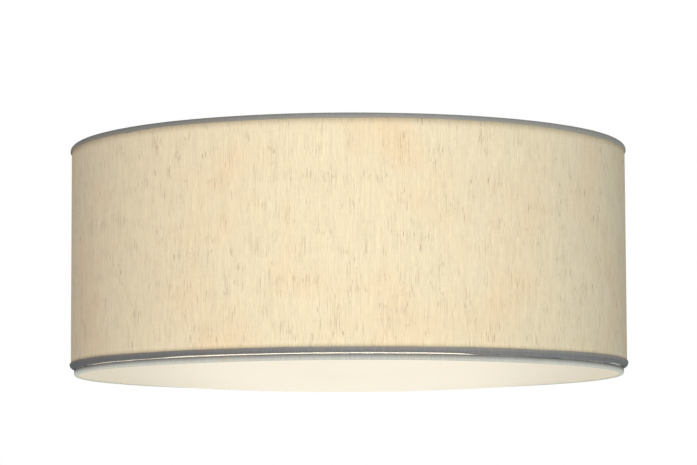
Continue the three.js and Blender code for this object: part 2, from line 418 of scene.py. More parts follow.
def capped_object(
    name: str, points: np.ndarray, first: np.ndarray, last: np.ndarray
) -> bpy.types.Object:
    """Closed body from loops of points, with a pole beyond the first loop and one beyond the last.

    The faces point outwards where direction of travel x direction round a loop does.

    Args:
        name: Name of the piece.
        points: Shape (loops, points in a loop, 3).
        first: The pole before the first loop.
        last: The pole after the last loop.

    Returns:
        The mesh object; its UV is the length travelled and the length round the largest loop.
    """
    loops, count = points.shape[:2]
    quads, steps = grid_quads(loops, count, wrap_rows=False)
    centres = points.mean(axis=1)
    travelled = path_length(np.concatenate([first[None], centres, last[None]]))
    girth = np.linalg.norm(np.diff(points, axis=1, append=points[:, :1]), axis=-1).sum(axis=1).max()
    round_loop = np.linspace(0.0, girth, count + 1)
    uvs = np.stack([travelled[1:][steps[..., 0]], round_loop[steps[..., 1]]], axis=-1)
    column, poles = np.arange(count), loops * count
    near, far = (column, round_loop[:-1]), ((column + 1) % count, round_loop[1:])
    middle = (round_loop[:-1] + round_loop[1:]) / 2
    faces, corner_uvs = [quads], [uvs]
    for pole, start, tip, base, left, right in (
        (poles, 0, travelled[0], travelled[1], near, far),
        (poles + 1, poles - count, travelled[-1], travelled[-2], far, near),
    ):
        faces.append(np.stack([np.full(count, pole), start + left[0], start + right[0]], axis=1))
        corner_uvs.append(np.stack([
            np.stack([np.full(count, tip), middle], axis=-1),
            np.stack([np.full(count, base), left[1]], axis=-1),
            np.stack([np.full(count, base), right[1]], axis=-1),
        ], axis=1))
    vertices = np.concatenate([points.reshape(-1, 3), first[None], last[None]])
    return mesh_object(name, vertices, faces, corner_uvs)


def rod(
    path: np.ndarray, side: np.ndarray, half_width: np.ndarray, half_depth: np.ndarray, power: float,
    count: int,
) -> np.ndarray:
    """Loops of a rod or strip that follows a flat path.

    A loop's point at angle t is path + side w |cos t|^p sign(cos t) + (side x tangent) d |sin t|^p
    sign(sin t): p = 1 is an ellipse, and a smaller p squares it towards a flat strip.

    Args:
        path: Points, shape (loops, 3), in a plane.
        side: Unit normal of that plane.
        half_width: Half the size along side, for each loop.
        half_depth: Half the size across it, for each loop.
        power: The p of the formula.
        count: Points in a loop.

    Returns:
        Loops, shape (loops, count, 3), that face outwards in capped_object.
    """
    tangent = np.gradient(path, axis=0)
    tangent /= np.linalg.norm(tangent, axis=1, keepdims=True)
    up = np.cross(side[None], tangent)
    angle = TURN * np.arange(count) / count
    wide = np.sign(np.cos(angle)) * np.abs(np.cos(angle)) ** power
    deep = np.sign(np.sin(angle)) * np.abs(np.sin(angle)) ** power
    across = wide[None, :, None] * side * half_width[:, None, None]
    through = deep[None, :, None] * up[:, None] * half_depth[:, None, None]
    return path[:, None] + across + through


def outward(azimuth: float) -> tuple[np.ndarray, np.ndarray]:
    """Unit vectors at an azimuth.

    Args:
        azimuth: The azimuth.

    Returns:
        One away from the axis, and one along the ring.
    """
    radial = np.array([math.cos(azimuth), math.sin(azimuth), 0.0])
    return radial, np.array([-radial[1], radial[0], 0.0])


def in_section(points: np.ndarray, azimuth: float) -> np.ndarray:
    """Points of a section, placed in the upright half-plane at an azimuth.

    Args:
        points: (radius, height) pairs, shape (count, 2).
        azimuth: The azimuth.

    Returns:
        Points in space, shape (count, 3).
    """
    radial, _ = outward(azimuth)
    return points[:, :1] * radial + points[:, 1:] * np.array([0.0, 0.0, 1.0])


# --- Finishes -----------------------------------------------------------------------------------

# Inputs and output of a Mix node that is set to colours, and inputs of a MapRange node.
MIX_FACTOR, MIX_A, MIX_B, MIX_OUT = 0, 6, 7, 2
FROM_LOW, FROM_HIGH, TO_LOW, TO_HIGH = 1, 2, 3, 4
BLEND = {"data_type": "RGBA"}
PRODUCT = {"data_type": "RGBA", "blend_type": "MULTIPLY"}
# Nearly all values of a noise node lie between these two.
NOISE_LOW, NOISE_HIGH = 0.3, 0.7


def linear(code: str) -> Colour:
    """Linear colour of an sRGB hex value.

    Args:
        code: Six hex digits.

    Returns:
        Red, green, blue and an alpha of 1. A channel c is c / 12.92 up to 0.04045, and
        ((c + 0.055) / 1.055) ^ 2.4 above it.
    """
    channels = np.array([int(code[i:i + 2], 16) / 255.0 for i in (0, 2, 4)])
    low = channels / 12.92
    high = ((channels + 0.055) / 1.055) ** 2.4
    red, green, blue = np.where(channels <= 0.04045, low, high)
    return float(red), float(green), float(blue), 1.0


def add(
    tree: bpy.types.NodeTree, kind: str, inputs: dict[str | int, object] | None = None,
    **settings: object,
) -> bpy.types.Node:
    """Adds one shader node.

    Args:
        tree: Node tree.
        kind: Node type without its ShaderNode prefix.
        inputs: Values, or sockets to link, by input name or index.
        **settings: Attributes of the node.

    Returns:
        The node.
    """
    made = tree.nodes.new("ShaderNode" + kind)
    for key, value in settings.items():
        setattr(made, key, value)
    for key, value in (inputs or {}).items():
        if isinstance(value, bpy.types.NodeSocket):
            tree.links.new(value, made.inputs[key])
        else:
            made.inputs[key].default_value = value
    return made


def shader(name: str, **values: object) -> bpy.types.Material:
    """A new material whose Principled shader has constants on its own sockets.

    Args:
        name: Name of the material.
        **values: Socket values; an underscore in a name stands for a space.

    Returns:
        The material.
    """
    material = bpy.data.materials.new(name)
    material.use_nodes = True
    for key, value in values.items():
        material.node_tree.nodes["Principled BSDF"].inputs[key.replace("_", " ")].default_value = value
    return material


def feed(material: bpy.types.Material, **sockets: Socket) -> bpy.types.Material:
    """Links sockets to the Principled shader of a material.

    Args:
        material: The material.
        **sockets: Sockets by input name; an underscore in a name stands for a space.

    Returns:
        The same material.
    """
    tree = material.node_tree
    for key, socket in sockets.items():
        tree.links.new(socket, tree.nodes["Principled BSDF"].inputs[key.replace("_", " ")])
    return material


@dataclass(frozen=True)
class Finish:
    """What all finishes share: the record's slot, one material made on first use, and a noise.

    The noise's roughness is the weight of each of its octaves against the one before it.
    """

    slot: str = ""
    title: str = ""
    noise_roughness: float = 0.5

    def material(self) -> bpy.types.Material:
        """The finish's material, built once."""
        return bpy.data.materials.get(self.title) or self.build()

    def build(self) -> bpy.types.Material:
        """Builds the material's nodes."""
        raise NotImplementedError

    def pattern(self, tree: bpy.types.NodeTree, width: float, length: float, detail: float) -> Socket:
        """Noise on the piece's own UV, stretched to a grain of width x length.

        Args:
            tree: Node tree.
            width: Grain size along the UV's first axis, round a ring or along a strip.
            length: Grain size along its second axis, up the drum or across the strip.
            detail: Octaves of the noise.

        Returns:
            The noise node's value socket.
        """
        laid = add(tree, "UVMap", uv_map=CLOTH_UV)
        scaled = add(tree, "Mapping", {"Vector": laid.outputs[0], "Scale": (1 / width, 1 / length, 1.0)})
        settings = {
            "Vector": scaled.outputs[0], "Scale": 1.0, "Detail": detail,
            "Roughness": self.noise_roughness}
        return add(tree, "TexNoise", settings, noise_dimensions="2D").outputs[0]


@dataclass(frozen=True)
class SlubWeave(Finish):
    """Linen and polyester slub weave: uneven warp and weft yarns, with short thick dark slubs.

    The yarns are noise on the cloth's own UV, stretched along the thread. Thread spacing in such a
    cloth is about 0.6 mm, and it is drawn at about 1 mm so that it can show.

    Of each pair of levels, the first is the noise value where a mark starts and the second is the
    one where it is full. Three pairs are left out by default: glow_reach, the heights of the full
    painted glow and of none; shaded_ends, the heights beside which painted shade darkens the cloth
    by shade_depth within shade_band; and left_shade_reach, the stretch of X over which painted shade
    lifts, the colour rising from left_shade_tone to 1.
    """

    slot: str = "cover_fabric"
    title: str = "laminated linen slub weave"
    cloth: str = "E3E0C1"
    slub: str = "94836A"
    tan: str = "E7D2A8"
    glow: str = "FFD8E0"
    glow_strength: float = 0.14
    warp_spacing: float = 1.1 * MM
    warp_run: float = 42 * MM
    weft_spacing: float = 1.2 * MM
    weft_run: float = 22 * MM
    weft_share: float = 0.25
    nap_width: float = 0.95 * MM
    nap_length: float = 9 * MM
    mottle_width: float = 5 * MM
    mottle_length: float = 34 * MM
    slub_width: float = 0.95 * MM
    slub_length: float = 12 * MM
    slub_levels: Pair = (0.68, 0.77)
    slub_contrast: float = 0.72
    fibre_width: float = 0.9 * MM
    fibre_length: float = 30 * MM
    fibre_levels: Pair = (0.56, 0.76)
    fibre_contrast: float = 0.36
    crowd_width: float = 85 * MM / 6
    crowd_length: float = 85 * MM / 4
    crowd_levels: Pair = (0.44, 0.66)
    crowd_least: float = 0.12
    patch_size: float = 85 * MM
    patch_levels: Pair = (0.48, 0.76)
    patch_share: float = 0.38
    yarn_contrast: float = 0.045
    mottle_contrast: float = 0.022
    relief: float = 0.10 * MM
    noise_roughness: float = 0.55
    glow_reach: Pair | None = None
    shaded_ends: Pair | None = None
    shade_band: float = 4.5 * MM
    shade_depth: float = 0.16
    left_shade_reach: Pair | None = None
    left_shade_tone: float = 0.76

    def yarns(self, tree: bpy.types.NodeTree, warp: Socket, weft: Socket) -> Socket:
        """Tone of the yarns: the product of four noises, each 1 plus or minus its contrast.

        Args:
            tree: Node tree.
            warp: Noise of the upright yarns.
            weft: Noise of the yarns that run round.

        Returns:
            The product's socket.
        """
        nap = self.pattern(tree, self.nap_width, self.nap_length, 2.0)
        mottle = self.pattern(tree, self.mottle_width, self.mottle_length, 2.0)
        product = 1.0
        for noise, contrast in (
            (warp, self.yarn_contrast),
            (weft, self.yarn_contrast * self.weft_share),
            (nap, self.yarn_contrast),
            (mottle, self.mottle_contrast),
        ):
            tone = add(tree, "MapRange", {
                "Value": noise, FROM_LOW: NOISE_LOW, FROM_HIGH: NOISE_HIGH,
                TO_LOW: 1 - contrast, TO_HIGH: 1 + contrast})
            factors = {0: product, 1: tone.outputs[0]}
            product = add(tree, "Math", factors, operation="MULTIPLY").outputs[0]
        return product

    def marks(self, tree: bpy.types.NodeTree) -> Socket:
        """Strength of the dark marks: slubs or fibres, fewer where a broad noise is low.

        Args:
            tree: Node tree.

        Returns:
            The strength's socket.
        """
        shares = []
        for width, length, levels, least, most in (
            (self.slub_width, self.slub_length, self.slub_levels, 0.0, self.slub_contrast),
            (self.fibre_width, self.fibre_length, self.fibre_levels, 0.0, self.fibre_contrast),
            (self.crowd_width, self.crowd_length, self.crowd_levels, self.crowd_least, 1.0),
        ):
            share = add(tree, "MapRange", {
                "Value": self.pattern(tree, width, length, 1.0),
                FROM_LOW: levels[0], FROM_HIGH: levels[1], TO_LOW: least, TO_HIGH: most})
            shares.append(share.outputs[0])
        slubs, fibres, crowd = shares
        darkest = add(tree, "Math", {0: slubs, 1: fibres}, operation="MAXIMUM")
        return add(tree, "Math", {0: darkest.outputs[0], 1: crowd}, operation="MULTIPLY").outputs[0]

    def shaded(self, tree: bpy.types.NodeTree, colour: Socket, place: bpy.types.Node) -> Socket:
        """The colour, with painted shade on the left and beside the hems where the finish says so.

        Args:
            tree: Node tree.
            colour: Socket of the unshaded colour.
            place: Node whose outputs are X, Y and Z on the piece.

        Returns:
            Socket of the shaded colour.
        """
        tones = []
        # Painted shade: darker towards the left, where less light falls.
        if self.left_shade_reach:
            tones.append(add(tree, "MapRange", {
                "Value": place.outputs[0], FROM_LOW: self.left_shade_reach[0], FROM_HIGH: self.left_shade_reach[1],
                TO_LOW: self.left_shade_tone, TO_HIGH: 1.0}, interpolation_type="SMOOTHSTEP"))
        # Painted shade beside the hems, whose tucked inner legs keep the light from inside off the
        # cloth.
        if self.shaded_ends:
            low, high = self.shaded_ends
            offset = add(tree, "Math", {0: place.outputs[2], 1: (low + high) / 2}, operation="SUBTRACT")
            apart = add(tree, "Math", {0: offset.outputs[0]}, operation="ABSOLUTE")
            reach = (high - low) / 2
            tones.append(add(tree, "MapRange", {
                "Value": apart.outputs[0], FROM_LOW: reach - self.shade_band, FROM_HIGH: reach,
                TO_LOW: 1.0, TO_HIGH: 1.0 - self.shade_depth}, interpolation_type="SMOOTHSTEP"))
        for tone in tones:
            mixed = add(tree, "Mix", {MIX_FACTOR: 1.0, MIX_A: colour, MIX_B: tone.outputs[0]}, **PRODUCT)
            colour = mixed.outputs[MIX_OUT]
        return colour

    def build(self) -> bpy.types.Material:
        """Cloth colour with tan patches x yarns, then dark marks and painted shade, and a faint painted
        glow.
        """
        material = shader(self.title, Roughness=0.9, IOR=1.45, Emission_Strength=self.glow_strength)
        tree = material.node_tree
        warp = self.pattern(tree, self.warp_spacing, self.warp_run, 3.0)
        weft = self.pattern(tree, self.weft_run, self.weft_spacing, 2.0)
        patches = add(tree, "MapRange", {
            "Value": self.pattern(tree, self.patch_size, self.patch_size, 2.0),
            FROM_LOW: self.patch_levels[0], FROM_HIGH: self.patch_levels[1],
            TO_LOW: 0.0, TO_HIGH: self.patch_share})
        ground = add(tree, "Mix", {
            MIX_FACTOR: patches.outputs[0], MIX_A: linear(self.cloth), MIX_B: linear(self.tan)}, **BLEND)
        toned = add(tree, "Mix", {
            MIX_FACTOR: 1.0, MIX_A: ground.outputs[MIX_OUT], MIX_B: self.yarns(tree, warp, weft)},
            **PRODUCT)
        marks = self.marks(tree)
        dyed = add(tree, "Mix", {
            MIX_FACTOR: marks, MIX_A: toned.outputs[MIX_OUT], MIX_B: linear(self.slub)}, **BLEND)
        coordinates = add(tree, "TexCoord")
        place = add(tree, "SeparateXYZ", {0: coordinates.outputs["Object"]})
        colour = self.shaded(tree, dyed.outputs[MIX_OUT], place)
        lit = add(tree, "Mix", {MIX_FACTOR: 1.0, MIX_A: colour, MIX_B: linear(self.glow)}, **PRODUCT)
        if self.glow_reach:
            fading = add(tree, "MapRange", {
                "Value": place.outputs[2], FROM_LOW: self.glow_reach[0], FROM_HIGH: self.glow_reach[1],
                TO_LOW: self.glow_strength, TO_HIGH: 0.0}, interpolation_type="SMOOTHSTEP")
            feed(material, Emission_Strength=fading.outputs[0])
        raised = add(tree, "Math", {0: warp, 1: weft, 2: marks}, operation="MULTIPLY_ADD")
        surface = add(tree, "Bump", {
            "Height": raised.outputs[0], "Strength": 0.5, "Distance": self.relief})
        return feed(material, Base_Color=colour, Emission_Color=lit.outputs[MIX_OUT],
                    Normal=surface.outputs[0])


@dataclass(frozen=True)
class LinerFilm(Finish):
    """Extruded styrene film, satin on its inner face, with the cloth's yarns showing through."""

    slot: str = "liner_film"
    title: str = "satin styrene liner film"
    film: str = "DAD8D2"
    shadow: str = "D0CCC2"
    glow: str = "FFFAF2"
    glow_strength: float = 0.05
    yarn_width: float = 1.4 * MM
    yarn_length: float = 30 * MM
    yarn_levels: Pair = (0.35, 0.7)

    def build(self) -> bpy.types.Material:
        """Two near whites mixed by stretched noise, so that the cloth reads faintly behind it."""
        material = shader(
            self.title, Roughness=0.5, IOR=1.57, Emission_Strength=self.glow_strength,
            Emission_Color=linear(self.glow))
        tree = material.node_tree
        share = add(tree, "MapRange", {
            "Value": self.pattern(tree, self.yarn_width, self.yarn_length, 2.0),
            FROM_LOW: self.yarn_levels[0], FROM_HIGH: self.yarn_levels[1]})
        mixed = add(tree, "Mix", {
            MIX_FACTOR: share.outputs[0], MIX_A: linear(self.film), MIX_B: linear(self.shadow)}, **BLEND)
        return feed(material, Base_Color=mixed.outputs[MIX_OUT])


@dataclass(frozen=True)
class OpalSheet(Finish):
    """Extruded opal acrylic, satin, lit from behind: brightest over the lamps, dimmer at the edge."""

    slot: str = "opal_sheet"
    title: str = "satin opal acrylic sheet"
    sheet: str = "C9C5BB"
    middle: str = "FFF6DC"
    edge: str = "BFB490"
    glow_strength: float = 0.50
    full_radius: float = 73.2 * MM
    dim_radius: float = 244 * MM
    lamp_offset: Triple = (0.0, 120 * MM, 0.0)
    lamp_spread: Triple = (1.0, 0.45, 0.0)
    cloud_size: float = 95 * MM
    cloud_contrast: float = 0.03

    def build(self) -> bpy.types.Material:
        """Glow by the distance |spread x (place + offset)|, clouded by broad noise of 3%."""
        material = shader(
            self.title, Base_Color=linear(self.sheet), Roughness=0.6, IOR=1.49,
            Specular_IOR_Level=0.15, Emission_Strength=self.glow_strength)
        tree = material.node_tree
        place = add(tree, "TexCoord")
        flat = add(tree, "VectorMath", {0: place.outputs["Object"], 1: (1.0, 1.0, 0.0)},
                   operation="MULTIPLY")
        shifted = add(tree, "VectorMath", {0: flat.outputs[0], 1: self.lamp_offset}, operation="ADD")
        drawn = add(tree, "VectorMath", {0: shifted.outputs[0], 1: self.lamp_spread},
                    operation="MULTIPLY")
        radius = add(tree, "VectorMath", {0: drawn.outputs[0]}, operation="LENGTH")
        outer = add(tree, "MapRange", {
            "Value": radius.outputs["Value"], FROM_LOW: self.full_radius, FROM_HIGH: self.dim_radius},
            interpolation_type="SMOOTHSTEP")
        clouds = add(tree, "TexNoise", {
            "Vector": flat.outputs[0], "Scale": 1 / self.cloud_size, "Detail": 1.0})
        tone = add(tree, "MapRange", {
            "Value": clouds.outputs[0], FROM_LOW: NOISE_LOW, FROM_HIGH: NOISE_HIGH,
            TO_LOW: 1 - self.cloud_contrast, TO_HIGH: 1 + self.cloud_contrast})
        spread = add(tree, "Mix", {
            MIX_FACTOR: outer.outputs[0], MIX_A: linear(self.middle), MIX_B: linear(self.edge)}, **BLEND)
        glow = add(tree, "Mix", {
            MIX_FACTOR: 1.0, MIX_A: spread.outputs[MIX_OUT], MIX_B: tone.outputs[0]}, **PRODUCT)
        return feed(material, Emission_Color=glow.outputs[MIX_OUT])


@dataclass(frozen=True)
class PowderCoat(Finish):
    """White polyester powder coat on steel wire: satin, with fine orange peel and dull patches."""

    slot: str = "coated_wire"
    title: str = "white powder coat"
    coat: str = "E9E8E2"
    dull: str = "DAD8D0"
    roughness: Pair = (0.38, 0.52)
    peel_size: float = 1.3 * MM
    peel_relief: float = 0.05 * MM
    patch_size: float = 14 * MM

    def build(self) -> bpy.types.Material:
        """Orange peel as a low bump, and dull patches in colour and roughness."""
        material = shader(self.title, IOR=1.5)
        tree = material.node_tree
        place = add(tree, "TexCoord")
        peel = add(tree, "TexNoise", {
            "Vector": place.outputs["Object"], "Scale": 1 / self.peel_size, "Detail": 1.0})
        patch = add(tree, "TexNoise", {
            "Vector": place.outputs["Object"], "Scale": 1 / self.patch_size, "Detail": 2.0})
        mixed = add(tree, "Mix", {
            MIX_FACTOR: patch.outputs[0], MIX_A: linear(self.coat), MIX_B: linear(self.dull)}, **BLEND)
        rough = add(tree, "MapRange", {
            "Value": patch.outputs[0], FROM_LOW: NOISE_LOW, FROM_HIGH: NOISE_HIGH,
            TO_LOW: self.roughness[0], TO_HIGH: self.roughness[1]})
        surface = add(tree, "Bump", {
            "Height": peel.outputs[0], "Strength": 0.4, "Distance": self.peel_relief})
        return feed(material, Base_Color=mixed.outputs[MIX_OUT], Roughness=rough.outputs[0],
                    Normal=surface.outputs[0])


@dataclass(frozen=True)
class RolledSteel(Finish):
    """Cold-rolled spring steel, left bare: bright, with fine grain along the strip."""

    slot: str = "spring_steel"
    title: str = "cold-rolled spring steel"
    bright: str = "C9CBCD"
    dark: str = "A9ABAE"
    roughness: Pair = (0.24, 0.4)
    grain_width: float = 0.25 * MM
    grain_length: float = 9 * MM
    grain_relief: float = 0.02 * MM

    def build(self) -> bpy.types.Material:
        """Noise stretched along the strip, in colour, roughness and a low bump."""
        material = shader(self.title, Metallic=1.0)
        tree = material.node_tree
        grain = self.pattern(tree, self.grain_length, self.grain_width, 3.0)
        mixed = add(tree, "Mix", {
            MIX_FACTOR: grain, MIX_A: linear(self.bright), MIX_B: linear(self.dark)}, **BLEND)
        rough = add(tree, "MapRange", {
            "Value": grain, FROM_LOW: NOISE_LOW, FROM_HIGH: NOISE_HIGH,
            TO_LOW: self.roughness[0], TO_HIGH: self.roughness[1]})
        surface = add(tree, "Bump", {"Height": grain, "Strength": 0.2, "Distance": self.grain_relief})
        return feed(material, Base_Color=mixed.outputs[MIX_OUT], Roughness=rough.outputs[0],
                    Normal=surface.outputs[0])


@dataclass(frozen=True)
class MouldedPolymer(Finish):
    """Injection-moulded polypropylene, natural white, with the fine spark texture of its mould."""

    slot: str = "reducer_plastic"
    title: str = "moulded polypropylene"
    white: str = "EFEEE8"
    worn: str = "E3E1D8"
    spark_size: float = 0.5 * MM
    spark_relief: float = 0.03 * MM
    flow_size: float = 9 * MM
    flow_swirl: float = 1.5

    def build(self) -> bpy.types.Material:
        """Spark texture as a low bump, and faint flow marks in colour."""
        material = shader(
            self.title, Roughness=0.45, IOR=1.49, Subsurface_Weight=0.15, Subsurface_Scale=1.5 * MM)
        tree = material.node_tree
        place = add(tree, "TexCoord")
        spark = add(tree, "TexNoise", {
            "Vector": place.outputs["Object"], "Scale": 1 / self.spark_size, "Detail": 2.0})
        flow = add(tree, "TexNoise", {
            "Vector": place.outputs["Object"], "Scale": 1 / self.flow_size, "Detail": 1.0,
            "Distortion": self.flow_swirl})
        mixed = add(tree, "Mix", {
            MIX_FACTOR: flow.outputs[0], MIX_A: linear(self.white), MIX_B: linear(self.worn)}, **BLEND)
        surface = add(tree, "Bump", {
            "Height": spark.outputs[0], "Strength": 0.3, "Distance": self.spark_relief})
        return feed(material, Base_Color=mixed.outputs[MIX_OUT], Normal=surface.outputs[0])


# Painted light: the cover's faint glow stands for the bulbs' light coming through the cloth.
COVER_LINEN = SlubWeave(shaded_ends=(20.4 * MM, 212.6 * MM))
# The lap is the cover's own cloth; its darker colour and weaker glow are painted shade, as less light
# from inside comes through the doubled cloth.
LAP_SHADED_LINEN = SlubWeave(title="laminated linen slub weave, doubled", cloth="D9CDB4", glow_strength=0.03)
# The hems are the cover's cream linen; their grey cloth, tan and slub colours are painted shade, as
# little light from inside comes through a roll. Their glow near the cover is painted light seeping
# through, and left_shade_reach paints shade on their left side.
LOWER_HEM_SHADED_LINEN = SlubWeave(
    slot="hem_fabric", title="linen slub weave, rolled below", cloth="7C8184", tan="82817E",
    slub="6A6A68", glow="FFF0D2", glow_strength=0.4, yarn_contrast=0.07, slub_contrast=0.5,
    glow_reach=(21.2 * MM, 18.0 * MM), left_shade_reach=(-160 * MM, 20 * MM))
UPPER_HEM_SHADED_LINEN = replace(
    LOWER_HEM_SHADED_LINEN, title="linen slub weave, rolled above", glow_strength=0.64,
    glow_reach=(211.6 * MM, 218.5 * MM))
# The rim's grey cloth, tan and slub colours are painted shade of the same weave, lit little from inside;
# its glow near the foot is painted light from the sheet coming through the cloth.
RIM_SHADED_LINEN = SlubWeave(
    slot="rim_cloth", title="linen slub weave, wrapped", cloth="8F9597", tan="93938D", slub="7A7872",
    glow="FFF6DF", glow_strength=1.15, yarn_contrast=0.06, slub_contrast=0.4,
    glow_reach=(11.0 * MM, 15.4 * MM))
LINER = LinerFilm()
OPAL = OpalSheet()
COAT = PowderCoat()
STEEL = RolledSteel()
REDUCER_PLASTIC = MouldedPolymer()


def install(piece: bpy.types.Object, finish: Finish, body: Body, *nodes: str) -> bpy.types.Object:
    """Dresses a piece, lets it ride on its body, and hides the solids that it stands for.

    Args:
        piece: The finished mesh object.
        finish: Its finish.
        body: The body that it moves with.
        *nodes: CAD nodes that it replaces.

    Returns:
        The same object.
    """
    piece.data.materials.append(finish.material())
    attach(piece, body.value)
    if nodes:
        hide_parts(*nodes)
    faces = len(piece.data.polygons)
    LOG.info("%s: %d faces of %s on %s", piece.name, faces, finish.title, body.value)
    return piece


# --- Drum ---------------------------------------------------------------------------------------


@dataclass(frozen=True)
class DrumCover:
    """The cloth laminated to its film, taut between the two ring wires, and its lap joint."""

    sizes: FrameSizes
    cloth: float = 0.8 * MM
    film: float = 0.5 * MM
    film_gap: float = 0.1 * MM
    lap_width: float = 14 * MM
    lap_inset: float = 3.2 * MM
    lap_gap: float = 0.02 * MM
    lap_fray: float = 0.25 * MM
    columns: int = 512
    rows: int = 28

    def wall(self, name: str, outer: float, thickness: float) -> bpy.types.Object:
        """A tube wall between the ring wires: outer face up, inner face down, swept round.

        Args:
            name: Name of the piece.
            outer: Radius of its outer face.
            thickness: Thickness of the wall.

        Returns:
            The mesh object, with UVs in metres round the drum and up it.
        """
        height = np.linspace(self.sizes.low_ring, self.sizes.high_ring, self.rows)
        faces = [
            np.stack([np.full(self.rows, outer), height], axis=1),
            np.stack([np.full(self.rows, outer - thickness), height[::-1]], axis=1),
        ]
        outline = np.concatenate(faces)
        across = np.append(outline[:, 1], outline[0, 1])
        return ring_object(name, outline, azimuth_steps(self.columns), outer, across)

    def cover(self) -> None:
        """The visible cloth."""
        piece = self.wall("cover_cloth", self.sizes.drum_radius, self.cloth)
        install(piece, COVER_LINEN, Body.SHADE, "cover_fabric")

    def liner(self) -> None:
        """The film behind the cloth."""
        outer = self.sizes.drum_radius - self.cloth - self.film_gap
        piece = self.wall("liner_sheet", outer, self.film)
        install(piece, LINER, Body.SHADE, "liner_film")

    def lap(self) -> None:
        """The overlapping end of the cloth: a thin curved strip, its long edges softly rounded.

        A section's point at angle t is half the width x |cos t|^0.35 across, and half the thickness
        x |sin t|^0.5 through, with their signs.
        """
        loops, count = 60, 48
        low = self.sizes.low_ring + self.lap_inset
        high = self.sizes.high_ring - self.lap_inset
        height = np.linspace(low, high, loops)
        angle = TURN * np.arange(count) / count
        across = np.sign(np.cos(angle)) * np.abs(np.cos(angle)) ** 0.35 * self.lap_width / 2
        through = np.sign(np.sin(angle)) * np.abs(np.sin(angle)) ** 0.5 * self.cloth / 2
        middle = self.sizes.drum_radius + self.cloth / 2 + self.lap_gap
        fray_length = 0.2
        fray = wander(height * TURN / fray_length, 5, self.lap_fray, (3, 7, 12, 19))
        azimuth = LAP_AZIMUTH - (across[None] + fray[:, None]) / middle
        radius = np.broadcast_to(middle + through, azimuth.shape)
        points = np.stack([
            radius * np.cos(azimuth), radius * np.sin(azimuth),
            np.broadcast_to(height[:, None], azimuth.shape)], axis=-1)
        ends = in_section(np.array([[middle, low], [middle, high]]), LAP_AZIMUTH)
        piece = capped_object("cover_lap", points, ends[0], ends[1])
        install(piece, LAP_SHADED_LINEN, Body.SHADE, "lap_strip")

    def build(self) -> None:
        """Builds the cloth, the film and the lap."""
        self.cover()
        self.liner()
        self.lap()


# Of each hem: its piece, the CAD node it replaces, the wire in it, and its finish.
HEM_PARTS = {
    DrumEnd.LOWER: ("lower_hem_roll", "bottom_rolled_hem", "bottom_ring_wire", LOWER_HEM_SHADED_LINEN),
    DrumEnd.UPPER: ("upper_hem_roll", "top_rolled_hem", "top_ring_wire", UPPER_HEM_SHADED_LINEN),
}


